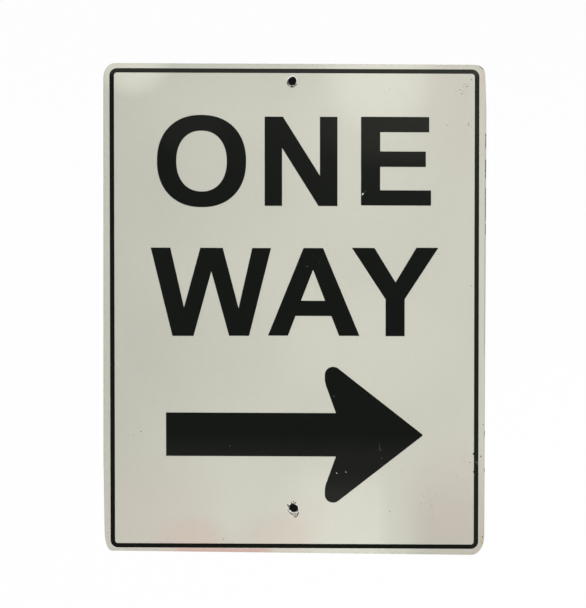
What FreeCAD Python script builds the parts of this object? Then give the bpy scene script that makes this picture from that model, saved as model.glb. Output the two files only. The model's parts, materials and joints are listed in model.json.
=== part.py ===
import FreeCAD, Part
import math
import os

from FreeCAD import Vector

# A one way road sign. A sheared aluminium plate carries a white reflective sheet on its face,
# and the sheet carries a black border line and a black arrow. Two holes on one upright line take
# the bolts that hold the sign to its post, and each was punched through from behind.
# The sign stands upright and faces -Y, its back lies in the plane Y = 0, and the arrow points to
# +X. The origin is the centre of the printed layout, on the back face. All sizes are in mm.

# Aluminium plate
plate_width = 450.0
plate_height = 600.0
plate_thickness = 1.6
side_lean = 1.3  # the sides were sheared out of square, so the top edge lies this far to the right
lower_edge_fall = 3.6  # the lower edge drops by this much from its left end to its right end

# Corners of the plate. They were rounded by hand, so each takes more off its side than off its end.
top_left_round_width = 14.4
top_left_round_height = 17.8
top_right_round_width = 10.4
top_right_round_height = 12.7
bottom_right_round_width = 15.5
bottom_right_round_height = 23.5
bottom_left_round_width = 7.8
bottom_left_round_height = 23.2

# Slivers trimmed off the sides beside two of the corners
top_right_trim_depth = 2.0
top_right_trim_length = 55.0
bottom_left_trim_depth = 1.7
bottom_left_trim_length = 110.0

# Bolt holes, with the rim that the punch raised on the face and drew in on the back
hole_diameter = 10.5
upper_hole_offset = -2.25  # from the middle of the layout, as both holes sit a little to the left
lower_hole_offset = -1.35
upper_hole_inset = 21.0  # from the top edge
lower_hole_inset = 55.4  # from the middle of the lower edge
rim_width = 2.9  # from the hole's edge to where the face is flat again
rim_height = 0.65
rim_land = 0.7  # bare metal left between the hole and the cut edge of the sheet
rim_base_blend = 1.6
rim_crest_blend = 0.35
back_draw_width = 1.6
back_draw_depth = 0.4

# White reflective sheet
sheet_thickness = 0.2

# Black print
print_thickness = 0.1
border_width = 5.3
border_corner_radius = 9.0
border_side_margin = 7.85
border_end_margin = 5.85

# Arrow, measured from its sharp corners before they are rounded
arrow_length = 303.5
arrow_offset = 0.35
arrow_rise = 134.65  # from the border's lower inner edge up to the arrow's axis
shaft_height = 53.5
head_length = 103.1  # from the point back to where the shaft enters the head
head_edge_angle = 39.1  # of each leading edge, in degrees to the arrow's axis
barb_sweep_angle = 19.1  # of each trailing edge, in degrees to the upright
barb_reach = 13.1  # how far a barb's back lies behind the end of the shaft
barb_back_radius = 30.0
barb_nose_radius = 9.8
point_radius = 1.5

# Planes of the layers, counted along Y
plate_front = -plate_thickness
sheet_front = plate_front - sheet_thickness
print_front = sheet_front - print_thickness

hole_radius = hole_diameter / 2
sheet_hole_radius = hole_radius + rim_land
half_plate_height = plate_height / 2
half_border_width = plate_width / 2 - border_side_margin
half_border_height = half_plate_height - border_end_margin
upper_hole = Vector(upper_hole_offset, 0, half_plate_height - upper_hole_inset)
lower_hole = Vector(lower_hole_offset, 0, lower_hole_inset - half_plate_height)
holes = (upper_hole, lower_hole)


def along(start, end, distance):
    """The point this far from one point towards another."""
    return start + (end - start).normalize() * distance


def arc_bend(before, corner, after, radius):
    """Rounds a corner to a radius: where the arc starts, the arc and where it ends."""
    inward = (before - corner).normalize()
    outward = (after - corner).normalize()
    half_angle = inward.getAngle(outward) / 2
    setback = radius / math.tan(half_angle)
    bisector = (inward + outward).normalize()
    start = corner + inward * setback
    middle = corner + bisector * (radius / math.sin(half_angle) - radius)
    end = corner + outward * setback
    return start, Part.Arc(start, middle, end), end


def oval_bend(before, corner, after, reach_before, reach_after):
    """Rounds a corner with a quarter of an ellipse, which has its own reach along each edge."""
    start = along(corner, before, reach_before)
    end = along(corner, after, reach_after)
    quarter = Part.BezierCurve()
    quarter.setPoles([start, corner, end])
    quarter.setWeight(2, math.sqrt(1 / 2))
    return start, quarter, end


def closed_outline(bends):
    """A closed wire of straight runs that join these bends. A sharp corner has no curve."""
    edges = []
    for index, (start, curve, end) in enumerate(bends):
        if curve:
            edges.append(curve.toShape())
        next_start = bends[(index + 1) % len(bends)][0]
        edges.append(Part.LineSegment(end, next_start).toShape())
    return Part.Wire(edges)


def rounded_outline(corners, radii):
    """A closed wire through these corners, each rounded to its own radius."""
    bends = []
    for index, corner in enumerate(corners):
        radius = radii[index]
        if radius:
            after = corners[(index + 1) % len(corners)]
            bends.append(arc_bend(corners[index - 1], corner, after, radius))
        else:
            bends.append((corner, None, corner))
    return closed_outline(bends)


def layer(wire, back, front):
    """A flat layer of this outline, from its back plane to its front plane."""
    face = Part.Face(wire)
    face.translate(Vector(0, back, 0))
    return face.extrude(Vector(0, front - back, 0))


def plate_outline():
    """The plate's outline, a little out of square, with four corners cut by hand."""
    half_width = plate_width / 2
    lean = side_lean / 2
    fall = lower_edge_fall / 2
    top_left = Vector(-half_width + lean, 0, half_plate_height)
    top_right = Vector(half_width + lean, 0, half_plate_height)
    bottom_right = Vector(half_width - lean, 0, -half_plate_height - fall)
    bottom_left = Vector(-half_width - lean, 0, -half_plate_height + fall)
    right_trim = along(top_right, bottom_right, top_right_trim_length)
    left_trim = along(bottom_left, top_left, bottom_left_trim_length)
    cut_right = along(top_right, top_left, top_right_trim_depth)
    cut_left = along(bottom_left, bottom_right, bottom_left_trim_depth)
    return closed_outline([
        oval_bend(left_trim, top_left, cut_right, top_left_round_height, top_left_round_width),
        oval_bend(top_left, cut_right, right_trim, top_right_round_width, top_right_round_height),
        (right_trim, None, right_trim),
        oval_bend(
            right_trim, bottom_right, cut_left, bottom_right_round_height, bottom_right_round_width
        ),
        oval_bend(
            bottom_right, cut_left, left_trim, bottom_left_round_width, bottom_left_round_height
        ),
        (left_trim, None, left_trim),
    ])


def revolved(profile, hole):
    """A profile in the plane X and Y, turned about a hole's axis."""
    solid = Part.Face(profile).revolve(Vector(0, 0, 0), Vector(0, 1, 0), 360)
    solid.translate(hole)
    return solid


def raised_rim(base, hole):
    """The rim round a hole, which swells from a face at Y = base to its crest."""
    foot_radius = hole_radius + rim_width
    margin_radius = foot_radius + rim_width
    crest = base - rim_height
    root = base + sheet_thickness / 2
    corners = [
        Vector(0, root, 0),
        Vector(margin_radius, root, 0),
        Vector(margin_radius, base, 0),
        Vector(foot_radius, base, 0),
        Vector(sheet_hole_radius, crest, 0),
        Vector(0, crest, 0),
    ]
    radii = [0, 0, 0, rim_base_blend, rim_crest_blend, 0]
    return revolved(rounded_outline(corners, radii), hole)


def back_draw(hole):
    """The shallow hollow that the punch left round a hole on the back."""
    corners = [
        Vector(0, plate_thickness, 0),
        Vector(hole_radius + back_draw_width, plate_thickness, 0),
        Vector(hole_radius + back_draw_width, 0, 0),
        Vector(hole_radius, -back_draw_depth, 0),
        Vector(0, -back_draw_depth, 0),
    ]
    return revolved(rounded_outline(corners, [0] * len(corners)), hole)


def bore(radius, hole):
    """A cylinder through every layer at a hole."""
    reach = plate_thickness + sheet_thickness + rim_height
    start = hole + Vector(0, reach, 0)
    return Part.makeCylinder(radius, 3 * reach, start, Vector(0, -1, 0))


def sign_plate():
    """The aluminium plate, with both holes punched."""
    plate = layer(plate_outline(), 0, plate_front)
    for hole in holes:
        plate = plate.fuse(raised_rim(plate_front, hole))
        plate = plate.cut(back_draw(hole))
        plate = plate.cut(bore(hole_radius, hole))
    return plate.removeSplitter()


def reflective_sheet():
    """The white sheet, which climbs each rim and stops short of its hole."""
    sheet = layer(plate_outline(), plate_front, sheet_front)
    for hole in holes:
        sheet = sheet.fuse(raised_rim(sheet_front, hole))
        sheet = sheet.cut(raised_rim(plate_front, hole))
        sheet = sheet.cut(bore(sheet_hole_radius, hole))
    return sheet.removeSplitter()


def border_ring(inset, radius):
    """One edge of the border line, this far in from its outer edge."""
    across = half_border_width - inset
    up = half_border_height - inset
    corners = [
        Vector(-across, 0, up),
        Vector(across, 0, up),
        Vector(across, 0, -up),
        Vector(-across, 0, -up),
    ]
    return layer(rounded_outline(corners, [radius] * len(corners)), sheet_front, print_front)


def border_line():
    """The black line round the face."""
    outer = border_ring(0, border_corner_radius)
    return outer.cut(border_ring(border_width, border_corner_radius - border_width))


def arrow():
    """The black arrow, with swept barbs that end in blunt rounded noses."""
    axis = arrow_rise - half_border_height + border_width
    point_x = arrow_offset + arrow_length / 2
    tail_x = point_x - arrow_length
    root_x = point_x - head_length
    back_x = root_x - barb_reach
    back_foot = shaft_height / 2 + barb_reach / math.tan(math.radians(barb_sweep_angle))
    back_head = (point_x - back_x) * math.tan(math.radians(head_edge_angle))
    half = [
        (tail_x, shaft_height / 2, 0),
        (root_x, shaft_height / 2, 0),
        (back_x, back_foot, barb_back_radius),
        (back_x, back_head, barb_nose_radius),
    ]
    whole = half + [(point_x, 0, point_radius)] + [(x, -rise, r) for x, rise, r in reversed(half)]
    corners = [Vector(x, 0, axis + rise) for x, rise, r in whole]
    radii = [r for x, rise, r in whole]
    return layer(rounded_outline(corners, radii), sheet_front, print_front)


def main():
    """Writes one file for each piece of the sign."""
    os.makedirs("parts", exist_ok=True)
    pieces = {
        "sign_plate": sign_plate(),
        "reflective_sheet": reflective_sheet(),
        "border_line": border_line(),
        "arrow": arrow(),
    }
    for name, shape in pieces.items():
        shape.exportStep("parts/" + name + ".step")
        box = shape.BoundBox
        print(name, len(shape.Solids), shape.isValid(), round(shape.Volume, 2), box)


main()
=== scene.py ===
import json
import math
import random

import bmesh
import bpy
from bpy.props import FloatProperty, FloatVectorProperty, IntProperty, PointerProperty
from mathutils import Matrix, Vector


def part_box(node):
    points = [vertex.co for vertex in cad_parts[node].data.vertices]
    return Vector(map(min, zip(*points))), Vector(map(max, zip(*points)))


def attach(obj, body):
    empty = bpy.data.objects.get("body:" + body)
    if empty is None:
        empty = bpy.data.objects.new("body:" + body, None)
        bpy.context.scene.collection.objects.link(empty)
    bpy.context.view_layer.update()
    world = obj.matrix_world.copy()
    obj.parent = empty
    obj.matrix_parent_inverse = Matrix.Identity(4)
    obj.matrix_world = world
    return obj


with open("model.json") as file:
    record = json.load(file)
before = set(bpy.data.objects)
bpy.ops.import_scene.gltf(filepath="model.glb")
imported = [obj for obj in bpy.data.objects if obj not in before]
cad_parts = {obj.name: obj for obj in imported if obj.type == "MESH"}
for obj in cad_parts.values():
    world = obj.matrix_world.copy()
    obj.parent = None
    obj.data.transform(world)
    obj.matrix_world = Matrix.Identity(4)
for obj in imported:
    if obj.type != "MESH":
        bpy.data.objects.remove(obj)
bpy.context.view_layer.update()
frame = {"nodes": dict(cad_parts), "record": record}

# Dresses the one way road sign. The words are printed on its white sheet, both holes get the torn
# edges that years of bolting left, and every surface gets its finish and its wear. The sheet and
# the print also get painted highlights, painted shade and painted pink reflections.
# The sign faces -Y, its arrow points to +X, and its back lies in the plane Y = 0.

bl_info = {
    "name": "One Way Road Sign",
    "version": (1, 0, 0),
    "blender": (4, 5, 0),
    "location": "3D View > Sidebar > Road Sign",
    "description": "Prints, wears and lights a one way road sign",
    "category": "Object",
}

MM = 0.001
BODY = "root"
WHITE = (1.0, 1.0, 1.0)

# Places that come from the sign's own solids
SHEET_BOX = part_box("reflective_sheet")
PRINT_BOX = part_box("border_line")
PLATE_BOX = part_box("sign_plate")
PRINT_FRONT = PRINT_BOX[0].y
SHEET_FRONT = PRINT_BOX[1].y
PRINT_HEIGHT = SHEET_FRONT - PRINT_FRONT
RIM_CREST = SHEET_BOX[0].y
METAL_CREST = PLATE_BOX[0].y
MOUNTS = {mount["name"]: mount for mount in frame["record"]["mounts"]}
HOLES = {name: Vector(MOUNTS[name + "_bolt_hole"]["pos_m"]) for name in ("upper", "lower")}
HOLE_RADIUS = MOUNTS["upper_bolt_hole"]["dims"]["r_mm"] * MM
RIM_LAND = 0.7 * MM
RIM_WIDTH = 2.9 * MM
SHEET_HOLE_RADIUS = HOLE_RADIUS + RIM_LAND
RIM_FOOT_RADIUS = HOLE_RADIUS + RIM_WIDTH

# The plate's right side leans out towards the top, where a sliver was trimmed off it
HALF_WIDTH = 225 * MM
HALF_HEIGHT = 300 * MM
SIDE_LEAN = 1.3 * MM
TRIM_LENGTH = 55 * MM
TRIM_DEPTH = 2.0 * MM

# The round of the plate's top right corner: its middle and its half width and half height
CORNER_MIDDLE = (213.2 * MM, 287.3 * MM)
CORNER_REACH = (10.4 * MM, 12.7 * MM)

# Patches of painted light on the face: painted highlights where it is brighter, and painted shade
# where it is darker. Each has its middle, its half width and its half height in mm, and how much
# brighter it is there, or darker with a minus.
PAINTED_LIGHT_PATCHES = (
    (98, 292, 78, 95, 0.14),
    (85, 300, 115, 260, 0.05),
    (-190, 297, 50, 42, 0.22),
    (-50, 300, 150, 70, -0.05),
    (-95, 150, 120, 120, -0.05),
    (-100, -45, 120, 110, -0.05),
    (85, -45, 130, 90, 0.045),
)

# Patches of painted pink reflection, in the same way, with how strong the reflection is.
PINK_REFLECTION_PATCHES = (
    (-122, -292, 60, 46, 0.38),
    (-22, -290, 60, 48, 0.26),
    (190, -235, 75, 95, 0.14),
    (178, -268, 42, 46, 0.1),
    (8, -258, 42, 38, 0.1),
    (-160, -250, 90, 90, 0.12),
    (195, 260, 60, 110, 0.08),
    (222, 284, 5, 22, 0.25),
    (222, -271, 3, 8, 0.35),
    (215, -297, 5, 4, 0.45),
)

# Patches of painted sheen on the print, in the same way.
PAINTED_SHEEN_PATCHES = (
    (118, 227, 120, 62, 0.0145),
    (-125, 225, 60, 45, 0.007),
)

# Specks of grit on the sheet that show from a step away, in mm across and up, with their length.
GRIT = (
    (202.6, 273.4, 1.9), (194.6, 269.5, 1.6), (197, 264.4, 1.6), (199.1, 268.1, 1.0),
    (198.8, 273.6, 1.1), (217.7, 295.6, 1.2), (204.7, 229.2, 1.1), (208.2, 29.5, 1.2),
    (191.7, -203.6, 0.9), (-220.5, -276.3, 1.1), (201.1, 275.7, 1.1), (134.2, -132.9, 1.0),
    (126, -197.8, 0.9), (169.6, 68.4, 1.1), (103.6, -202.7, 1.0), (160, -234.6, 0.9),
    (-220.9, -275.4, 0.5), (207.5, 281.8, 1.5), (204.8, 226.7, 1.8), (208, 224.3, 1.0),
    (179.5, 226, 1.1), (111.5, 270.5, 0.9), (131.5, 155.5, 0.8), (-171, 259.5, 0.8),
    (-189.5, -155.5, 1.0), (-181, -151, 1.4), (-210, -239, 0.9), (-214, -297, 0.7),
    (-209, -297, 0.7), (-83.9, -283.5, 1.5), (99.5, -297, 0.8), (112.5, -248.5, 1.6),
    (150, -238, 1.3), (152, -229, 0.9), (159.5, -221.5, 0.9), (161.5, -241, 0.9),
    (163.5, -256, 0.9), (166.5, -226.5, 0.9), (201, -186.5, 1.0), (207.3, -187.6, 1.5),
    (220, -180, 2.3), (222.5, -141, 1.3), (222, -287, 1.3), (222.2, -279.3, 1.6),
)

# Clouds of finer grit: middle, reach and number of grains.
GRIT_CLOUDS = (
    (200, 268, 14, 26),
    (204, 226, 9, 9),
    (163, -238, 26, 34),
    (205, -190, 14, 12),
    (-180, -200, 60, 12),
    (150, 100, 90, 10),
)

# The clouds keep this near to the middle, inside the border line.
GRIT_LIMIT = (HALF_WIDTH - 16 * MM, HALF_HEIGHT - 14 * MM)

# Chips in the print, where the sheet shows: middle, length, width and turn in degrees.
PRINT_CHIPS = (
    (80.4, 141.5, 3.2, 1.25, 47), (49.9, -201.4, 1.7, 0.85, -48), (60.8, -200.0, 1.5, 0.65, 90),
)

# Dull scuffs on the print, in the same way.
SCUFFS = (
    (82.2, 143.4, 3.2, 0.4, 50), (83.55, 145.1, 1.2, 1.0, 50), (15.0, 52.7, 1.7, 1.4, -20),
    (29.5, 58.3, 1.1, 0.7, 90), (46.7, -106.8, 2.2, 1.2, 15), (-76.2, -168.5, 1.5, 1.1, 0),
    (100.6, -168.3, 9.0, 0.4, 84), (101.4, -172.1, 3.7, 0.85, -52), (103.0, -182.7, 1.5, 1.0, 80),
    (102.3, -190.2, 1.3, 0.9, 80), (216.4, -188.6, 5.4, 1.0, 86), (214.7, -187.0, 3.4, 1.1, 78),
    (212.6, -203.7, 2.0, 0.9, 40),
)

# Blots of ink beside the border line: middle, length, width and turn in degrees.
INK_BLOTS = (
    (211.6, -176.8, 2.7, 2.4, 80),
    (211.6, -199.2, 2.4, 2.1, 80),
)

# Stretches of the right edge where the sheet has worn off the metal, by their lowest and highest
# point in mm, and how wide the worn strip is.
WORN_EDGES = (
    (197.5, 216.0, 1.25),
    (161.5, 184.0, 1.2),
    (109.0, 149.0, 1.0),
    (92.5, 105.5, 0.95),
    (-155.5, -149.0, 0.85),
    (-199.5, -194.5, 1.0),
)

# Each stretch is made of flakes that are about this many mm apart.
WORN_EDGE_PITCH = 3.5

# Where the lip of metal round each hole leans in over the hole: the turn in degrees, the reach in
# mm, and the half width of the lean in degrees.
LIP_LEANS = {
    "upper": ((352, 0.55, 34), (326, 0.45, 18)),
    "lower": ((162, 0.5, 20), (62, 0.2, 22), (248, 0.6, 14)),
}

# The bright torn crest, whose white is a painted highlight, runs this far outside the cut edge of
# the sheet, and is this wide.
CREST_SETBACK = 0.35 * MM
CREST_HALF_WIDTH = 0.46 * MM

# The stretches of that crest at each hole: the first and last turn in degrees, and where a
# stretch runs nearer to the hole's middle, or further out with a minus, given like the leans of
# the lip.
HIGHLIGHT_CRESTS = (
    (
        "upper", 2, 172,
        ((165, -0.5, 16), (138, 0.45, 15), (92, -0.45, 24), (32, 0.35, 18), (6, 1.0, 22)),
    ),
    ("lower", -141, 66, ((60, 0.45, 20), (-28, -0.75, 28), (-72, 0.1, 18), (-118, 1.1, 26))),
    ("lower", 111, 127, ((120, -0.5, 20),)),
)

# Dark seams round both holes: real cracks in the sheet above the lower hole, and painted shade
# below the upper hole's rim and along the edges of the lower hole's fold. Each runs from one turn
# in degrees and distance in mm to another, and has a width in mm.
CRACK_AND_SHADE_SEAMS = (
    ("upper", 190, 6.2, 214, 6.6, 1.5),
    ("upper", 214, 6.6, 240, 6.7, 1.1),
    ("upper", 250, 6.2, 270, 6.6, 3.3),
    ("upper", 272, 6.9, 298, 6.3, 1.4),
    ("upper", 298, 6.3, 328, 5.8, 1.1),
    ("lower", 98, 4.8, 112, 7.5, 1.2),
    ("lower", 77, 5.6, 65, 7.8, 1.4),
    ("lower", 85, 7.3, 90, 8.3, 1.35),
    ("lower", 158, 5.7, 148, 8.1, 1.45),
    ("lower", 204, 6.6, 236, 6.9, 0.9),
    ("lower", 236, 6.9, 271, 8.8, 1.2),
    ("lower", 271, 8.8, 280.5, 12.0, 1.15),
    ("lower", 280.5, 12.0, 299, 10.2, 1.1),
    ("lower", 299, 10.2, 325, 7.6, 1.15),
    ("lower", 250, 6.3, 286, 7.3, 0.8),
    ("lower", 286, 7.3, 317, 8.0, 1.0),
)

# Dark crescents of painted shade on the bare metal round the holes, where the lips and the hole's
# edge lie in shade: first and last turn, distance and width.
PAINTED_SHADE_LIPS = (
    ("upper", 36, 102, 5.55, 0.6),
    ("upper", 148, 240, 5.5, 0.65),
    ("upper", 192, 256, 4.65, 1.05),
    ("lower", 310, 354, 6.05, 0.95),
    ("lower", 76, 130, 5.7, 0.6),
    ("lower", 126, 184, 5.35, 0.6),
    ("lower", 302, 400, 5.5, 0.65),
    ("lower", 267, 316, 5.6, 0.75),
    ("upper", 280, 330, 5.25, 0.5),
)

# The triangle of sheet that lifted below the lower hole: its corners, in mm from the hole's middle.
# Its grey is partly the crease and partly painted shade, since the fold faces down.
FOLD = ((-5.2, -3.8), (6.7, -4.9), (2.2, -11.7))

# The tongue of sheet that bends into the lower hole: its first and last turn in degrees, and how
# far its tip lies from the hole's middle in mm.
TAB = (213, 237, 3.3)

# Turns in degrees at which the round of the plate's top right corner is worn.
CORNER_TURNS = range(35, 71, 5)

# A dark card closes each hole, inside the hollow on the plate's back, as painted shade for the
# space seen through it.
CARD_RADIUS = 5.6 * MM
CARD_PLANE = -0.3 * MM

# The lamps, which all look at the middle of the sign: name, place, width and power.
LAMPS = (
    ("key_lamp", (1.8, -3.6, 3.0), 2.8, 95.0),
    ("fill_lamp", (-2.4, -3.3, -0.3), 2.4, 46.0),
    ("back_lamp", (1.2, 2.6, 1.6), 2.0, 40.0),
)

# The point that the camera looks at.
CAMERA_TARGET = Vector((-1.64 * MM, 0.0, 5.908 * MM))

# The floor reaches this far to each side of a point behind the sign.
FLOOR_REACH = 14.0
FLOOR_SHIFT = 3.0


class CapitalSizes(bpy.types.PropertyGroup):
    """Places and corners of the printed capitals."""

    upper_line: FloatProperty(
        name="Upper Line",
        description="Height of the upper word's feet above the middle of the sign",
        default=127.3 * MM,
        unit="LENGTH",
        precision=4,
    )
    lower_line: FloatProperty(
        name="Lower Line",
        description="Height of the lower word's feet above the middle of the sign",
        default=-32.8 * MM,
        unit="LENGTH",
        precision=4,
    )
    corner_radius: FloatProperty(
        name="Corner Radius",
        description="Rounding that the stencil gives to each printed corner",
        default=0.5 * MM,
        unit="LENGTH",
        precision=5,
    )


class SignColours(bpy.types.PropertyGroup):
    """Colours of the sign's finishes."""

    sheet: FloatVectorProperty(
        name="Sheet",
        description="Weathered white of the reflective sheet",
        subtype="COLOR",
        default=(0.565, 0.562, 0.482),
    )
    # This colour is road dirt along the sheet's edges and painted shade under the holes' rims.
    grime_and_shade: FloatVectorProperty(
        name="Grime",
        description="Road dirt round the rims and along the edges",
        subtype="COLOR",
        default=(0.2, 0.185, 0.15),
    )
    # This pink is a painted reflection, laid on the sheet near its foot and along its right margin.
    reflected_pink: FloatVectorProperty(
        name="Blush",
        description="Warm cast of the sheet near the foot of the sign",
        subtype="COLOR",
        default=(0.6, 0.41, 0.36),
    )
    stain: FloatVectorProperty(
        name="Stain",
        description="Yellow stain in the sheet's lower right margin",
        subtype="COLOR",
        default=(0.48, 0.44, 0.28),
    )
    ink: FloatVectorProperty(
        name="Ink",
        description="Black of the print",
        subtype="COLOR",
        default=(0.002, 0.003, 0.0019),
    )
    metal: FloatVectorProperty(
        name="Metal",
        description="Bare aluminium of the plate",
        subtype="COLOR",
        default=(0.66, 0.66, 0.65),
    )
    burr: FloatVectorProperty(
        name="Burr",
        description="Bright torn metal round the holes",
        subtype="COLOR",
        default=(0.62, 0.62, 0.58),
    )
    # This white is the sheet showing at chips and in the tab, and a painted highlight on the holes'
    # crests.
    white_and_highlight: FloatVectorProperty(
        name="Crest",
        description="Clean white of the sheet's torn edge",
        subtype="COLOR",
        default=(0.95, 0.95, 0.92),
    )
    # This grey is partly the crease and partly painted shade on the fold, which faces down.
    crease_and_shade: FloatVectorProperty(
        name="Crease",
        description="Grey of the sheet where it creased and lifted",
        subtype="COLOR",
        default=(0.37, 0.35, 0.31),
    )
    # This dark is real dirt in the specks, the cracks and the worn edges, and painted shade in the
    # lips and seams round the holes.
    dirt_and_shade: FloatVectorProperty(
        name="Dirt",
        description="Dark specks, packed cracks and worn edges",
        subtype="COLOR",
        default=(0.032, 0.03, 0.025),
    )
    scuff: FloatVectorProperty(
        name="Scuff",
        description="Dull grey of the print where it is scuffed",
        subtype="COLOR",
        default=(0.085, 0.085, 0.08),
    )


class WearSizes(bpy.types.PropertyGroup):
    """Sizes of the sign's wear."""

    seed: IntProperty(
        name="Seed",
        description="Start of the random draws that shape each chip and burr",
        default=7,
    )
    flake_thickness: FloatProperty(
        name="Flake Thickness",
        description="How far a speck or chip stands off the surface",
        default=0.03 * MM,
        unit="LENGTH",
        precision=5,
    )
    fold_lift: FloatProperty(
        name="Fold Lift",
        description="Most that the lifted fold below the lower hole stands off the sheet",
        default=0.25 * MM,
        unit="LENGTH",
        precision=5,
    )
    burr_height: FloatProperty(
        name="Burr Height",
        description="Most that a hole's torn edge stands above the bare metal",
        default=0.3 * MM,
        unit="LENGTH",
        precision=5,
    )


class StageSizes(bpy.types.PropertyGroup):
    """Camera, floor and lights."""

    elevation: FloatProperty(
        name="Elevation",
        description="How steeply the camera looks down",
        default=math.radians(16.37),
        subtype="ANGLE",
    )
    azimuth: FloatProperty(
        name="Azimuth",
        description="How far the camera stands to the right",
        default=math.radians(0.844),
        subtype="ANGLE",
    )
    distance: FloatProperty(
        name="Distance",
        description="From the camera to the point it looks at",
        default=23.8657,
        unit="LENGTH",
    )
    lens: FloatProperty(
        name="Lens",
        description="Focal length of the camera",
        default=1200.0,
        subtype="DISTANCE_CAMERA",
    )
    floor_drop: FloatProperty(
        name="Floor Drop",
        description="From the middle of the sign down to the floor",
        default=0.9,
        unit="LENGTH",
    )
    sky: FloatProperty(
        name="Sky",
        description="Strength of the even light from all round",
        default=0.46,
    )


class Signal:
    """A value that runs between a material's nodes. Operators on it add Math nodes."""

    def __init__(self, finish, socket):
        self.finish = finish
        self.socket = socket

    def math(self, operation, first, second=0.0):
        return self.finish.node("ShaderNodeMath", {"operation": operation}, {0: first, 1: second})

    def beside(self, name):
        """Another output of the node that this value comes from."""
        return Signal(self.finish, self.socket.node.outputs[name])

    def __add__(self, other):
        return self.math("ADD", self, other)

    def __radd__(self, other):
        return self.math("ADD", other, self)

    def __sub__(self, other):
        return self.math("SUBTRACT", self, other)

    def __rsub__(self, other):
        return self.math("SUBTRACT", other, self)

    def __mul__(self, other):
        return self.math("MULTIPLY", self, other)

    def __rmul__(self, other):
        return self.math("MULTIPLY", other, self)

    def __truediv__(self, other):
        return self.math("DIVIDE", self, other)

    def __rtruediv__(self, other):
        return self.math("DIVIDE", other, self)

    def __pow__(self, other):
        return self.math("POWER", self, other)

    def __abs__(self):
        return self.math("ABSOLUTE", self)

    def most(self, other):
        return self.math("MAXIMUM", self, other)

    def step(self, low, high):
        """Rises smoothly from 0 at low to 1 at high."""
        settings = {"interpolation_type": "SMOOTHSTEP"}
        values = {"Value": self, "From Min": low, "From Max": high}
        return self.finish.node("ShaderNodeMapRange", settings, values)

    def fall(self, low, high):
        """Falls smoothly from 1 at low to 0 at high."""
        return 1.0 - self.step(low, high)


class Finish:
    """The nodes of a material or of the world."""

    def __init__(self, owner):
        self.owner = owner
        owner.use_nodes = True
        self.tree = owner.node_tree
        self.tree.nodes.clear()

    def node(self, kind, settings=None, values=None, output=0):
        """Adds a node, makes its settings, fills its sockets and gives back one output."""
        made = self.tree.nodes.new(kind)
        for name, value in (settings or {}).items():
            setattr(made, name, value)
        for name, value in (values or {}).items():
            if isinstance(value, Signal):
                self.tree.links.new(value.socket, made.inputs[name])
            else:
                made.inputs[name].default_value = value
        if made.outputs:
            return Signal(self, made.outputs[output])
        return None

    def place(self):
        """The point on the object, in metres."""
        return self.node("ShaderNodeTexCoord", output="Object")

    def across_and_up(self, place):
        """How far across and how far up a point lies."""
        across = self.node("ShaderNodeSeparateXYZ", values={0: place})
        return across, across.beside("Z")

    def noise(self, vector, pitch, detail=2.0, stretch=(1.0, 1.0, 1.0)):
        """Soft noise about 0, whose patches are about this wide, drawn out by the stretch."""
        scales = [1.0 / part for part in stretch]
        spread = self.node("ShaderNodeMapping", values={"Vector": vector, "Scale": scales})
        values = {"Vector": spread, "Scale": 1.0 / pitch, "Detail": detail}
        return self.node("ShaderNodeTexNoise", values=values) - 0.5

    def blend(self, share, under, over, mode="MIX"):
        """Lays one colour over another."""
        settings = {"data_type": "RGBA", "blend_type": mode}
        values = {0: share, 6: colour(under), 7: colour(over)}
        return self.node("ShaderNodeMix", settings, values, output=2)

    def bump(self, height, depth, under=None):
        """The normal of a surface with this relief, which is this deep."""
        values = {"Height": height, "Distance": depth, "Strength": 1.0}
        if under:
            values["Normal"] = under
        return self.node("ShaderNodeBump", values=values)

    def surface(self, values):
        """Closes the material with a Principled shader."""
        shader = self.node("ShaderNodeBsdfPrincipled", values=values)
        self.node("ShaderNodeOutputMaterial", values={"Surface": shader})
        return self.owner

    def white_to_camera(self, under, share):
        """Lays pure white over a shader, by this share, for the rays that look at it."""
        seen = self.node("ShaderNodeLightPath", output="Is Camera Ray")
        seen = seen.most(seen.beside("Is Glossy Ray")).most(seen.beside("Is Transmission Ray"))
        white = self.node("ShaderNodeEmission", values={"Color": colour(WHITE), "Strength": 1.0})
        return self.node("ShaderNodeMixShader", values={0: seen * share, 1: under, 2: white})


def material_nodes(name):
    """The nodes of a new material."""
    return Finish(bpy.data.materials.new(name))


def colour(value):
    """A colour as a node's socket takes it."""
    if isinstance(value, Signal):
        return value
    return (*value, 1.0)


def near(across, up, middle, level, half_width, half_height):
    """1 at the middle of an oval patch of the face, falling to 0 at its edge, with sizes in mm."""
    aside = (across - middle * MM) / (half_width * MM)
    above = (up - level * MM) / (half_height * MM)
    return (aside * aside + above * above).fall(0.0, 1.0)


def right_edge_shade(across, up):
    """The grey line of painted shade along the plate's right edge, darkest beside the words."""
    inward = HALF_WIDTH + up * (SIDE_LEAN / 2 / HALF_HEIGHT) - across
    line = inward.fall(0.9 * MM, 2.0 * MM)
    beside_words = up.step(-75 * MM, -30 * MM) * up.fall(170 * MM, 215 * MM)
    return line * (0.06 + beside_words * 0.2)


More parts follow.
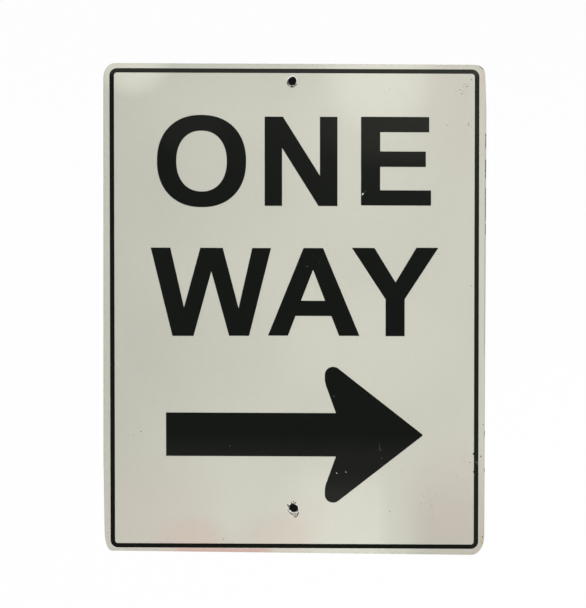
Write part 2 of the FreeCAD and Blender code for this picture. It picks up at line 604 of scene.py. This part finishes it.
def sheet_finish(colours):
    """White reflective sheet: fine glass beads under a satin top film, with painted highlights,
    painted shade and painted pink reflections, and painted shade round the rims.
    """
    finish = material_nodes("weathered_sheet")
    place = finish.place()
    across, up = finish.across_and_up(place)
    clouds = finish.noise(place, 120 * MM)
    mottle = finish.noise(place, 9 * MM, detail=4.0)
    runs = finish.noise(place, 7 * MM, stretch=(1.0, 1.0, 14.0))
    beads = finish.noise(place, 0.4 * MM, detail=0.0)
    shade = 1.0 + clouds * 0.03 + mottle * 0.04 + runs * 0.02 + beads * 0.06
    # Painted highlights and painted shade in patches over the face.
    for middle, level, half_width, half_height, gain in PAINTED_LIGHT_PATCHES:
        shade = shade + near(across, up, middle, level, half_width, half_height) * gain
    # Painted light and shade: the foot is painted paler, with a painted highlight most of all under
    # the arrow's head, and its right end and the left side get painted shade.
    shade = shade + up.fall(-300 * MM, -120 * MM) * 0.06
    foot_glow = near(across, up, 62, -300, 110, 150) * across.fall(94 * MM, 120 * MM)
    shade = shade + foot_glow * 0.13
    right_foot_shade = across.step(115 * MM, 165 * MM) * up.fall(-285 * MM, -160 * MM)
    shade = shade - right_foot_shade * 0.17
    shade = shade - across.fall(-260 * MM, -50 * MM) * 0.15
    # A line of painted shade along the right edge.
    shade = shade - right_edge_shade(across, up)
    base = finish.blend(1.0, colours.sheet, shade, mode="MULTIPLY")

    # Painted pink reflections in patches.
    for middle, level, half_width, half_height, strength in PINK_REFLECTION_PATCHES:
        reflection_share = near(across, up, middle, level, half_width, half_height)
        base = finish.blend(reflection_share * (1.0 + clouds) * strength, base, colours.reflected_pink)
    # A strip along the lower edge, outside the border line, has the strongest painted pink
    # reflection.
    reflection_strip = across.step(-146 * MM, -132 * MM) * across.fall(-40 * MM, -20 * MM)
    reflection_strip = reflection_strip * up.fall(-296 * MM, -293 * MM)
    base = finish.blend(reflection_strip * 0.9, base, colours.reflected_pink)
    stain = near(across, up, 221.2, -284, 3, 7.5)
    base = finish.blend(stain * 0.85, base, colours.stain)

    # Painted shade under each hole's rim, on the lower half of the ring round it.
    grime_and_shade = 0.0
    for hole in HOLES.values():
        aside = across - hole.x
        above = up - hole.z
        reach = (aside * aside + above * above) ** 0.5
        under_rim_shade = reach.step(5.6 * MM, 6.2 * MM) * reach.fall(6.4 * MM, 7.6 * MM)
        grime_and_shade = under_rim_shade * above.fall(-4 * MM, 1 * MM) + grime_and_shade
    half_width = SHEET_BOX[1].x
    half_height = SHEET_BOX[1].z
    margin = abs(across).step(half_width - 3.5 * MM, half_width)
    margin = margin.most(abs(up).step(half_height - 3 * MM, half_height))
    speckle = finish.noise(place, 3 * MM, detail=3.0).step(-0.15, 0.3)
    # The grime colour is laid as painted shade under the rims and as road dirt along the margins.
    base = finish.blend((grime_and_shade * 0.3 + margin * 0.22) * speckle, base, colours.grime_and_shade)

    waves = finish.noise(place, 70 * MM, detail=1.0)
    relief = finish.bump(waves, 0.4 * MM)
    relief = finish.bump(beads, 0.02 * MM, under=relief)
    return finish.surface({
        "Base Color": base,
        "Roughness": 0.42 + mottle * 0.12 + beads * 0.1,
        "Specular IOR Level": 0.4,
        "Normal": relief,
    })


def ink_finish(colours):
    """Black print: a thin satin layer, with a bloom of dust, the finest scratches and painted
    sheen.
    """
    name = "printed_ink"
    if name in bpy.data.materials:
        return bpy.data.materials[name]
    finish = material_nodes(name)
    place = finish.place()
    across, up = finish.across_and_up(place)
    clouds = finish.noise(place, 60 * MM)
    dust = finish.noise(place, 0.8 * MM, detail=3.0)
    wipes = finish.noise(place, 1.6 * MM, detail=3.0, stretch=(9.0, 1.0, 1.0))
    dust_and_sheen = 0.002 + clouds * 0.003 + dust.step(0.06, 0.3) * 0.01 + wipes.step(0.12, 0.3) * 0.006
    # Painted sheen: the print is lighter towards the top and the right, and along the border's top
    # and right.
    dust_and_sheen = dust_and_sheen + up.step(0.0, 300 * MM) * across.step(-260 * MM, 250 * MM) * 0.018
    dust_and_sheen = dust_and_sheen + up.step(284 * MM, 289 * MM) * 0.028 + across.step(205 * MM, 212 * MM) * 0.011
    # Patches of painted sheen.
    for middle, level, half_width, half_height, strength in PAINTED_SHEEN_PATCHES:
        dust_and_sheen = dust_and_sheen + near(across, up, middle, level, half_width, half_height) * strength
    # Painted sheen on the arrow, stronger towards its lower barb.
    low = up.fall(-185 * MM, -150 * MM) * 0.0095
    lowest = up.fall(-235 * MM, -195 * MM) * 0.016
    on_arrow = up.step(-270 * MM, -262 * MM) * abs(across).fall(170 * MM, 180 * MM)
    dust_and_sheen = dust_and_sheen + (low + lowest) * on_arrow
    base = finish.blend(dust_and_sheen, colours.ink, colours.sheet)
    relief = finish.bump(dust, 0.01 * MM)
    return finish.surface({
        "Base Color": base,
        "Roughness": 0.5 + clouds * 0.12 + dust * 0.15,
        "Specular IOR Level": 0.06,
        "Normal": relief,
    })


def metal_finish(colours):
    """Mill-finish aluminium: rolling grain, dull clouds, scuffs and torn sheared edges."""
    finish = material_nodes("mill_aluminium")
    place = finish.place()
    grain = finish.noise(place, 0.35 * MM, detail=3.0, stretch=(1.0, 1.0, 60.0))
    bands = finish.noise(place, 6 * MM, stretch=(1.0, 1.0, 40.0))
    clouds = finish.noise(place, 80 * MM, detail=4.0)
    spots = finish.noise(place, 5 * MM, detail=5.0).step(0.08, 0.22)
    scuffs = finish.noise(place, 1.1 * MM, detail=4.0, stretch=(12.0, 1.0, 2.0)).step(0.16, 0.3)
    shade = 1.0 + grain * 0.12 + bands * 0.05 + clouds * 0.12 - spots * 0.1 + scuffs * 0.1
    base = finish.blend(1.0, colours.metal, shade, mode="MULTIPLY")
    relief = finish.bump(grain, 0.012 * MM)
    relief = finish.bump(finish.noise(place, 70 * MM, detail=1.0), 0.4 * MM, under=relief)
    return finish.surface({
        "Base Color": base,
        "Metallic": 0.9 - spots * 0.25,
        "Roughness": 0.42 + clouds * 0.2 + spots * 0.15 - scuffs * 0.1,
        "Normal": relief,
    })


def fleck_finish(name, base_colour, spread, roughness):
    """A chip or speck, a little lighter or darker from place to place."""
    if name in bpy.data.materials:
        return bpy.data.materials[name]
    finish = material_nodes(name)
    shade = 1.0 + finish.noise(finish.place(), 1.5 * MM, detail=3.0) * spread
    base = finish.blend(1.0, base_colour, shade, mode="MULTIPLY")
    return finish.surface({
        "Base Color": base,
        "Roughness": roughness,
        "Specular IOR Level": 0.2,
    })


def dress(node, material):
    """Gives one of the sign's own solids its finish."""
    piece = frame["nodes"][node]
    piece.data.materials.clear()
    piece.data.materials.append(material)


def new_object(name, bm, material):
    """Makes an object of a finished mesh."""
    mesh = bpy.data.meshes.new(name)
    bm.to_mesh(mesh)
    bm.free()
    mesh.materials.append(material)
    made = bpy.data.objects.new(name, mesh)
    bpy.context.scene.collection.objects.link(made)
    return made


def place_piece(name, bm, material):
    """Cleans a mesh, makes a piece of it and fixes it to the sign."""
    bmesh.ops.remove_doubles(bm, verts=bm.verts, dist=0.001 * MM)
    bmesh.ops.recalc_face_normals(bm, faces=bm.faces)
    piece = new_object(name, bm, material)
    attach(piece, BODY)


def raise_faces(bm, faces, height):
    """Gives flat faces a thickness towards the front."""
    made = bmesh.ops.extrude_face_region(bm, geom=faces)["geom"]
    front = [part for part in made if isinstance(part, bmesh.types.BMVert)]
    bmesh.ops.translate(bm, verts=front, vec=(0.0, -height, 0.0))


def outline_edges(bm, outline, radius):
    """A closed line through these corners on the sheet, each corner a little rounded."""
    corners = [bm.verts.new((across, SHEET_FRONT, up)) for across, up in outline]
    for index, corner in enumerate(corners):
        bm.edges.new((corners[index - 1], corner))
    bmesh.ops.bevel(
        bm,
        geom=corners,
        offset=radius,
        segments=3,
        profile=0.5,
        affect="VERTICES",
        material=-1,
    )


def printed(name, outlines, left, foot, radius, material):
    """A letter with straight strokes, whose outlines are in mm from its left end and its foot."""
    bm = bmesh.new()
    for outline in outlines:
        outline_edges(bm, [((left + x) * MM, foot + z * MM) for x, z in outline], radius)
    bmesh.ops.triangle_fill(bm, edges=bm.edges[:], use_beauty=True)
    raise_faces(bm, bm.faces[:], PRINT_HEIGHT)
    place_piece(name, bm, material)


def printed_ring(name, centre, outer, inner, material):
    """A round letter. Each edge is given by its half width, half height and fullness."""
    bm = bmesh.new()
    for half_width, half_height, fullness in (outer, inner):
        ring = bmesh.ops.create_circle(bm, segments=96, radius=1.0)["verts"]
        for corner in ring:
            aside, above = corner.co.x, corner.co.y
            spread = abs(aside / half_width) ** fullness + abs(above / half_height) ** fullness
            reach = spread ** (-1.0 / fullness)
            corner.co = (centre[0] + reach * aside, SHEET_FRONT, centre[1] + reach * above)
    bmesh.ops.bridge_loops(bm, edges=bm.edges[:])
    raise_faces(bm, bm.faces[:], PRINT_HEIGHT)
    place_piece(name, bm, material)


def flat_on_sheet(point):
    """The sheet's front, away from the holes."""
    return SHEET_FRONT


def flat_on_print(point):
    """The print's front."""
    return PRINT_FRONT


def on_rim(hole):
    """Gives the sheet's front near a hole, where it climbs the rim, and over the lip inside it."""

    def front(point):
        reach = math.hypot(point.x - hole.x, point.z - hole.z)
        climb = (RIM_FOOT_RADIUS - reach) / (RIM_FOOT_RADIUS - SHEET_HOLE_RADIUS)
        return SHEET_FRONT + (RIM_CREST - SHEET_FRONT) * min(max(climb, 0.0), 1.3)

    return front


def flake(bm, chance, spot, length, width, turn, thickness, seat=flat_on_sheet):
    """Adds an irregular chip that lies flat on its seat, with its middle at this spot."""
    made = bmesh.ops.create_circle(bm, cap_ends=True, segments=9, radius=0.5)["verts"]
    face = made[0].link_faces[0]
    for corner in made:
        corner.co *= chance.uniform(0.8, 1.1)
    size = Matrix.Diagonal((length, width, 1.0, 1.0))
    lay = Matrix.Rotation(math.pi / 2, 4, "X") @ Matrix.Rotation(turn, 4, "Z") @ size
    bmesh.ops.transform(bm, matrix=lay, verts=made)
    bmesh.ops.translate(bm, verts=made, vec=(spot[0], 0.0, spot[1]))
    for corner in made:
        corner.co.y = seat(corner.co)
    raise_faces(bm, [face], thickness)


def about(hole, turn, reach):
    """The point of the face at this turn, in degrees, and this distance in mm from a hole."""
    angle = math.radians(turn)
    return hole.x + reach * MM * math.cos(angle), hole.z + reach * MM * math.sin(angle)


def seam(bm, chance, hole, start, end, width, thickness):
    """Adds a dark seam of short overlapping flakes, used for cracks and for painted shade. Each end
    is a turn and a distance.
    """

    def point(share):
        return about(hole, *(first + (last - first) * share for first, last in zip(start, end)))

    pitch = 1.1 * MM
    steps = max(2, round(math.dist(point(0.0), point(1.0)) / pitch))
    for index in range(steps):
        behind, ahead = point(index / steps), point((index + 1) / steps)
        spot = []
        for one, other in zip(behind, ahead):
            spot.append((one + other) / 2 + chance.uniform(-0.1, 0.1) * MM)
        wide = width * MM * chance.uniform(0.75, 1.15)
        lean = math.atan2(ahead[1] - behind[1], ahead[0] - behind[0])
        flake(bm, chance, spot, 1.6 * math.dist(behind, ahead), wide, lean, thickness, on_rim(hole))


def spun(bm, hole, profile, first, last, steps):
    """Turns a closed profile of distances and fronts about a hole, from one turn to another."""
    corners = [bm.verts.new((hole.x + reach, front, hole.z)) for reach, front in profile]
    for index, corner in enumerate(corners):
        bm.edges.new((corners[index - 1], corner))
    whole = last - first == 360
    turn = Matrix.Rotation(-math.radians(first), 3, "Y")
    bmesh.ops.rotate(bm, cent=hole, matrix=turn, verts=corners)
    ends = [] if whole else [bmesh.ops.contextual_create(bm, geom=corners)["faces"][0]]
    bmesh.ops.spin(
        bm,
        geom=ends or corners + bm.edges[:],
        cent=hole,
        axis=(0.0, -1.0, 0.0),
        angle=math.radians(last - first),
        steps=steps,
        use_merge=whole,
    )


def lean_in(leans, turn):
    """How far the lip round a hole leans in at this turn."""
    lean = 0.0
    for middle, most, half_width in leans:
        aside = (turn - middle + 180) % 360 - 180
        lean += most * MM * math.exp(-((aside / half_width) ** 2))
    return lean


def swell_at(chance):
    """Gives an uneven wave, from about -1 to 1, that closes on itself round a hole."""
    waves = [(count, chance.uniform(0.0, 2 * math.pi)) for count in (2, 3, 5, 8, 13, 21)]

    def swell(turn):
        angle = math.radians(turn)
        return sum(math.sin(count * angle + start) / count for count, start in waves)

    return swell


def turn_of(hole, point):
    """The turn of a point about a hole, in degrees."""
    return math.degrees(math.atan2(point.z - hole.z, point.x - hole.x))


def burr(name, hole, chance, height, leans, material):
    """The torn lip of bare metal round a hole, which leans in over it in places."""
    outer = SHEET_HOLE_RADIUS - 0.25 * MM
    bore = HOLE_RADIUS - 0.02 * MM
    deep = METAL_CREST + 0.9 * MM
    profile = (
        (outer, METAL_CREST + 0.02 * MM),
        (outer - 0.2 * MM, METAL_CREST - height),
        (bore, METAL_CREST - 0.7 * height),
        (bore, deep),
        (bore + 0.25 * MM, deep),
    )
    bm = bmesh.new()
    spun(bm, hole, profile, 0, 360, 120)
    swell = swell_at(chance)
    for corner in bm.verts:
        turn = turn_of(hole, corner.co)
        if corner.co.y < METAL_CREST:
            corner.co.y += (METAL_CREST - corner.co.y) * (0.4 - 0.4 * swell(turn))
            reach = math.hypot(corner.co.x - hole.x, corner.co.z - hole.z)
            if reach < HOLE_RADIUS:
                lean = (0.02 + 0.04 * swell(3 * turn)) * MM + lean_in(leans, turn)
                corner.co.x = hole.x + (corner.co.x - hole.x) * (1.0 - lean / reach)
                corner.co.z = hole.z + (corner.co.z - hole.z) * (1.0 - lean / reach)
    place_piece(name, bm, material)


def torn_crest(bm, hole, chance, middle, half_width, first, last, leans=()):
    """Adds a raised, uneven edge along part of a hole's rim."""
    sides = 10
    lift = 0.05 * MM
    half_height = 0.3 * MM
    taper_turn = 14
    profile = []
    for index in range(sides):
        angle = 2 * math.pi * index / sides
        front = RIM_CREST - lift - half_height * math.sin(angle)
        profile.append((middle + half_width * math.cos(angle), front))
    before = set(bm.verts)
    spun(bm, hole, profile, first, last, max(12, round((last - first) / 3)))
    swell = swell_at(chance)
    for corner in set(bm.verts) - before:
        turn = (turn_of(hole, corner.co) - first + 90) % 360 - 90
        taper = min(turn, last - first - turn) / taper_turn
        thick = min(1.0, max(0.15, taper)) * (0.85 + 0.3 * swell(2 * turn))
        reach = math.hypot(corner.co.x - hole.x, corner.co.z - hole.z)
        wander = 0.14 * MM * swell(turn) - lean_in(leans, turn + first)
        moved = (middle + (reach - middle) * thick + wander) / reach
        corner.co.x = hole.x + (corner.co.x - hole.x) * moved
        corner.co.z = hole.z + (corner.co.z - hole.z) * moved
        corner.co.y = RIM_CREST + (corner.co.y - RIM_CREST) * thick


def lifted_fold(name, hole, corners, lift, material):
    """A three-cornered crease of the sheet that stands off below a hole's rim."""
    inner = SHEET_HOLE_RADIUS + 0.3 * MM
    left, right, tip = (Vector((hole.x + x * MM, 0.0, hole.z + z * MM)) for x, z in corners)
    seat = on_rim(hole)
    bm = bmesh.new()
    bmesh.ops.create_grid(bm, x_segments=16, y_segments=12, size=0.5)
    made = bmesh.ops.extrude_face_region(bm, geom=bm.faces[:])["geom"]
    front = [part for part in made if isinstance(part, bmesh.types.BMVert)]
    bmesh.ops.translate(bm, verts=front, vec=(0.0, 0.0, 1.0))
    for corner in bm.verts:
        along, down, raised = corner.co.x + 0.5, 0.97 * (corner.co.y + 0.5), corner.co.z
        edge = left.lerp(right, along)
        away = edge - Vector((hole.x, 0.0, hole.z))
        edge = edge + away.normalized() * max(0.0, inner - away.length)
        spot = edge.lerp(tip, down)
        ridge = math.sin(math.pi * along) * (1.0 - down)
        spot.y = seat(spot) - raised * (0.04 * MM + lift * ridge)
        corner.co = spot
    place_piece(name, bm, material)


def torn_tab(name, hole, first, last, tip_reach, material):
    """A tongue of the sheet that bends over a rim and into its hole."""
    base = SHEET_HOLE_RADIUS / MM + 0.4
    bm = bmesh.new()
    bmesh.ops.create_grid(bm, x_segments=6, y_segments=8, size=0.5)
    middle = (first + last) / 2
    for corner in bm.verts:
        aside, inward = corner.co.x * 2, corner.co.y + 0.5
        narrowing = 1.0 - 0.65 * inward
        rounding = 1.0 - 0.25 * aside * aside
        turn = middle + aside * (last - first) / 2 * narrowing
        reach = base + (tip_reach - base) * inward * rounding
        spot = about(hole, turn, reach)
        rise = 0.35 * math.sin(math.pi * min(1.0, 1.4 * inward))
        bend = rise - 1.1 * max(0.0, inward - 0.55)
        corner.co = (spot[0], RIM_CREST - (0.04 + bend) * MM, spot[1])
    bm.normal_update()
    bmesh.ops.solidify(bm, geom=bm.faces[:], thickness=0.12 * MM)
    place_piece(name, bm, material)


def right_edge(up):
    """How far across the plate's right side lies at this height."""
    trimmed = max(0.0, up - HALF_HEIGHT + TRIM_LENGTH) / TRIM_LENGTH
    return HALF_WIDTH + SIDE_LEAN / 2 * up / HALF_HEIGHT - TRIM_DEPTH * trimmed


class SIGN_OT_capitals(bpy.types.Operator):
    """Print the six capitals on the sheet"""

    bl_idname = "sign.capitals"
    bl_label = "Print the Capitals"

    def execute(self, context):
        sizes = context.scene.sign_capitals
        colours = context.scene.sign_colours
        ink = ink_finish(colours)
        radius = sizes.corner_radius
        upper = sizes.upper_line
        lower = sizes.lower_line

        middle = (-109.1 * MM, upper + 53.75 * MM)
        outer = (52.4 * MM, 56.4 * MM, 2.22)
        inner = (29.65 * MM, 37.15 * MM, 2.2)
        printed_ring("letter_O", middle, outer, inner, ink)

        n_shape = [(0, -0.7), (0, 108.4), (21.5, 108.4), (64.95, 36.5), (64.95, 108.4)]
        n_shape += [(85.6, 108.4), (85.6, -0.7), (63.3, -0.7), (20.5, 70.1), (20.5, -0.7)]
        printed("letter_N", [n_shape], -34.95, upper, radius, ink)

        e_shape = [(0, 0.3), (0, 108.65), (80.1, 108.65), (80.1, 89.9), (22.55, 89.9)]
        e_shape += [(22.55, 66.4), (76.2, 66.4), (76.2, 47.55), (22.55, 47.55)]
        e_shape += [(22.55, 18.95), (82.4, 18.95), (82.4, 0.3)]
        printed("letter_E", [e_shape], 78.3, upper, radius, ink)

        w_shape = [(0, 107.75), (23.1, 107.75), (39.1, 34.6), (58.4, 107.75), (84.85, 107.75)]
        w_shape += [(103.4, 33.7), (119.5, 107.75), (141.7, 107.75), (115.7, -0.1), (92.2, -0.1)]
        w_shape += [(71.35, 79.0), (50.3, -0.5), (25.4, -0.5)]
        printed("letter_W", [w_shape], -169.1, lower, radius, ink)

        a_shape = [(0, 0.35), (41.85, 107.95), (64.9, 107.95), (107.85, 0.35), (83.75, 0.35)]
        a_shape += [(74.65, 24.65), (32.5, 24.65), (23.5, 0.35)]
        a_gap = [(53.15, 81.3), (38.9, 43.3), (67.25, 43.3)]
        printed("letter_A", [a_shape, a_gap], -31.1, lower, radius, ink)

        y_shape = [(0, 108.4), (26.55, 108.4), (51.4, 66.3), (75.95, 108.85), (101.75, 108.85)]
        y_shape += [(62.2, 45.7), (62.2, 0.2), (39.7, 0.2), (39.7, 45.4)]
        printed("letter_Y", [y_shape], 67.7, lower, radius, ink)
        return {"FINISHED"}


class SIGN_OT_hole_damage(bpy.types.Operator):
    """Tear the metal and the sheet round both bolt holes"""

    bl_idname = "sign.hole_damage"
    bl_label = "Tear the Bolt Holes"

    def execute(self, context):
        colours = context.scene.sign_colours
        sizes = context.scene.sign_wear
        chance = random.Random(sizes.seed)
        metal = fleck_finish("worn_metal", colours.burr, 0.3, 0.4)
        film = fleck_finish("creased_film", colours.crease_and_shade, 0.35, 0.5)
        white_and_highlight = fleck_finish("white_crest", colours.white_and_highlight, 0.2, 0.5)
        dirt_and_shade = fleck_finish("packed_dirt", colours.dirt_and_shade, 0.6, 0.8)
        for name, leans in LIP_LEANS.items():
            burr(name + "_hole_burr", HOLES[name], chance, sizes.burr_height, leans, metal)
        # The fold's grey finish is partly the crease and partly painted shade.
        lifted_fold("lower_hole_fold", HOLES["lower"], FOLD, sizes.fold_lift, film)
        torn_tab("lower_hole_tab", HOLES["lower"], *TAB, white_and_highlight)

        # The white crests are a painted highlight on the rims' slopes that face up.
        bm = bmesh.new()
        for name, first, last, leans in HIGHLIGHT_CRESTS:
            middle = SHEET_HOLE_RADIUS + CREST_SETBACK
            torn_crest(bm, HOLES[name], chance, middle, CREST_HALF_WIDTH, first, last, leans)
        place_piece("torn_crests_highlight", bm, white_and_highlight)

        bm = bmesh.new()
        # The seams are cracks above the lower hole and painted shade below the rims.
        for name, first, reach, last, last_reach, width in CRACK_AND_SHADE_SEAMS:
            ends = ((first, reach), (last, last_reach))
            seam(bm, chance, HOLES[name], *ends, width, sizes.flake_thickness)
        # Dark crescents of painted shade on the lips round the holes.
        for name, first, last, reach, width in PAINTED_SHADE_LIPS:
            torn_crest(bm, HOLES[name], chance, reach * MM, width / 2 * MM, first, last)
        place_piece("hole_cracks_and_shade", bm, dirt_and_shade)
        return {"FINISHED"}


class SIGN_OT_wear(bpy.types.Operator):
    """Scatter the grit, the chips in the print and the worn edges"""

    bl_idname = "sign.wear"
    bl_label = "Wear the Face"

    def execute(self, context):
        colours = context.scene.sign_colours
        sizes = context.scene.sign_wear
        chance = random.Random(sizes.seed + 1)
        thick = sizes.flake_thickness
        dirt_and_shade = fleck_finish("packed_dirt", colours.dirt_and_shade, 0.6, 0.8)
        white_and_highlight = fleck_finish("white_crest", colours.white_and_highlight, 0.2, 0.5)
        scuff = fleck_finish("scuffed_print", colours.scuff, 0.3, 0.6)
        ink = ink_finish(colours)

        bm = bmesh.new()
        for across, up, length in GRIT:
            wide = length * chance.uniform(0.55, 0.9)
            turn = chance.uniform(0.0, math.pi)
            flake(bm, chance, (across * MM, up * MM), length * MM, wide * MM, turn, thick)
        for across, up, reach, count in GRIT_CLOUDS:
            for grain in range(count):
                spot = (chance.gauss(across, reach / 2) * MM, chance.gauss(up, reach / 2) * MM)
                length = chance.uniform(0.25, 0.6) * MM
                turn = chance.uniform(0.0, math.pi)
                if abs(spot[0]) < GRIT_LIMIT[0] and abs(spot[1]) < GRIT_LIMIT[1]:
                    flake(bm, chance, spot, length, length * 0.7, turn, thick)
        place_piece("road_grit", bm, dirt_and_shade)

        for name, marks, material, slot, height, seat in (
            ("print_chips", PRINT_CHIPS, white_and_highlight, "white_sheeting", thick / 2, flat_on_print),
            ("print_scuffs", SCUFFS, scuff, "black_print", thick / 2, flat_on_print),
            ("ink_blots", INK_BLOTS, ink, "black_print", PRINT_HEIGHT, flat_on_sheet),
        ):
            bm = bmesh.new()
            for across, up, length, width, turn in marks:
                spot = (across * MM, up * MM)
                lean = math.radians(turn)
                flake(bm, chance, spot, length * MM, width * MM, lean, height, seat)
            place_piece(name, bm, material)

        bm = bmesh.new()
        for low, high, width in WORN_EDGES:
            count = max(2, round((high - low) / WORN_EDGE_PITCH))
            for index in range(count):
                up = (low + (high - low) * (index + 0.5) / count) * MM
                wide = width * chance.uniform(0.7, 1.05) * MM
                across = right_edge(up) - wide / 2
                length = (high - low) / count * chance.uniform(1.1, 1.6) * MM
                flake(bm, chance, (across, up), length, wide, math.pi / 2, thick)
        for turn in CORNER_TURNS:
            angle = math.radians(turn)
            across = CORNER_MIDDLE[0] + (CORNER_REACH[0] - 0.5 * MM) * math.cos(angle)
            up = CORNER_MIDDLE[1] + (CORNER_REACH[1] - 0.5 * MM) * math.sin(angle)
            wide = chance.uniform(0.5, 1.0) * MM
            flake(bm, chance, (across, up), 1.6 * MM, wide, angle + math.pi / 2, thick)
        place_piece("worn_edges", bm, dirt_and_shade)
        return {"FINISHED"}


class SIGN_OT_finishes(bpy.types.Operator):
    """Give the plate, the sheet, the border line and the arrow their finishes"""

    bl_idname = "sign.finishes"
    bl_label = "Finish the Sign"

    def execute(self, context):
        colours = context.scene.sign_colours
        dress("sign_plate", metal_finish(colours))
        dress("reflective_sheet", sheet_finish(colours))
        dress("border_line", ink_finish(colours))
        dress("arrow", ink_finish(colours))
        return {"FINISHED"}


class SIGN_OT_stage(bpy.types.Operator):
    """Set up the floor, the lights and the camera"""

    bl_idname = "sign.stage"
    bl_label = "Set the Stage"

    def execute(self, context):
        sizes = context.scene.sign_stage
        scene = context.scene
        scene.view_settings.view_transform = "Standard"
        self.floor(sizes)
        self.hole_cards()
        self.sky(scene, sizes)
        for name, spot, width, power in LAMPS:
            self.lamp(name, spot, width, power)
        self.camera(scene, sizes)
        return {"FINISHED"}

    def floor(self, sizes):
        """A pale floor that looks nearly white and keeps a trace of the shadow."""
        bm = bmesh.new()
        bmesh.ops.create_grid(bm, x_segments=1, y_segments=1, size=FLOOR_REACH)
        bmesh.ops.translate(bm, verts=bm.verts, vec=(0.0, FLOOR_SHIFT, -sizes.floor_drop))
        finish = material_nodes("pale_floor")
        diffuse = finish.node("ShaderNodeBsdfDiffuse", values={"Color": (0.96, 0.96, 0.96, 1.0)})
        finish.node("ShaderNodeOutputMaterial", values={
            "Surface": finish.white_to_camera(diffuse, 0.97),
        })
        floor = new_object("floor", bm, finish.owner)

    def hole_cards(self):
        """A dark card in the back of each hole, which only the front sees: painted shade for the
        space seen through the hole.
        """
        finish = material_nodes("dark_card")
        dark = finish.node("ShaderNodeBsdfDiffuse", values={"Color": (0.008, 0.008, 0.007, 1.0)})
        clear = finish.node("ShaderNodeBsdfTransparent")
        behind = finish.node("ShaderNodeNewGeometry", output="Backfacing")
        mixed = finish.node("ShaderNodeMixShader", values={0: behind, 1: dark, 2: clear})
        finish.node("ShaderNodeOutputMaterial", values={"Surface": mixed})
        turn = Matrix.Rotation(math.pi / 2, 4, "X")
        for name, hole in HOLES.items():
            bm = bmesh.new()
            bmesh.ops.create_circle(bm, cap_ends=True, segments=48, radius=CARD_RADIUS)
            shift = Matrix.Translation((hole.x, CARD_PLANE, hole.z))
            bmesh.ops.transform(bm, matrix=shift @ turn, verts=bm.verts)
            card = new_object(name + "_card", bm, finish.owner)
            card.visible_shadow = False

    def sky(self, scene, sizes):
        """Even light from all round, which looks white."""
        scene.world = bpy.data.worlds.new("studio")
        nodes = Finish(scene.world)
        even = nodes.node("ShaderNodeBackground", values={
            "Color": colour(WHITE),
            "Strength": sizes.sky,
        })
        nodes.node("ShaderNodeOutputWorld", values={"Surface": nodes.white_to_camera(even, 1.0)})

    def lamp(self, name, spot, width, power):
        """A round soft lamp that looks at the middle of the sign."""
        light = bpy.data.lights.new(name, "AREA")
        light.shape = "DISK"
        light.size = width
        light.energy = power
        lamp = bpy.data.objects.new(name, light)
        bpy.context.scene.collection.objects.link(lamp)
        lamp.location = spot
        lamp.rotation_mode = "QUATERNION"
        lamp.rotation_quaternion = (-Vector(spot)).to_track_quat("-Z", "Y")
        lamp.visible_camera = False

    def camera(self, scene, sizes):
        """The camera at the photograph's angle."""
        lens = bpy.data.cameras.new("camera")
        lens.lens = sizes.lens
        lens.clip_end = 2 * sizes.distance
        camera = bpy.data.objects.new("camera", lens)
        scene.collection.objects.link(camera)
        level = math.cos(sizes.elevation)
        back = Vector((
            math.sin(sizes.azimuth) * level,
            -math.cos(sizes.azimuth) * level,
            math.sin(sizes.elevation),
        ))
        camera.location = CAMERA_TARGET + back * sizes.distance
        camera.rotation_mode = "QUATERNION"
        camera.rotation_quaternion = (-back).to_track_quat("-Z", "Y")
        scene.camera = camera


class SIGN_PT_panel(bpy.types.Panel):
    """Lists the sizes, the colours and the steps"""

    bl_idname = "SIGN_PT_panel"
    bl_label = "Road Sign"
    bl_space_type = "VIEW_3D"
    bl_region_type = "UI"
    bl_category = "Road Sign"

    def draw(self, context):
        scene = context.scene
        for group in (scene.sign_capitals, scene.sign_colours, scene.sign_wear, scene.sign_stage):
            box = self.layout.box()
            for name in group.bl_rna.properties.keys():
                if name not in ("rna_type", "name"):
                    box.prop(group, name)
        for operator in STEPS:
            self.layout.operator(operator.bl_idname)


GROUPS = {
    "sign_capitals": CapitalSizes,
    "sign_colours": SignColours,
    "sign_wear": WearSizes,
    "sign_stage": StageSizes,
}
STEPS = (
    SIGN_OT_finishes,
    SIGN_OT_capitals,
    SIGN_OT_hole_damage,
    SIGN_OT_wear,
    SIGN_OT_stage,
)
CLASSES = (*GROUPS.values(), *STEPS, SIGN_PT_panel)


def register():
    """Registers the classes and gives the scene its sizes and colours."""
    for one in CLASSES:
        bpy.utils.register_class(one)
    for name, group in GROUPS.items():
        setattr(bpy.types.Scene, name, PointerProperty(type=group))


def unregister():
    """Takes away what register added."""
    for name in GROUPS:
        delattr(bpy.types.Scene, name)
    for one in reversed(CLASSES):
        bpy.utils.unregister_class(one)


def main():
    """Runs every step on the loaded frame."""
    register()
    bpy.ops.sign.finishes()
    bpy.ops.sign.capitals()
    bpy.ops.sign.hole_damage()
    bpy.ops.sign.wear()
    bpy.ops.sign.stage()


if __name__ == "__main__":
    main()
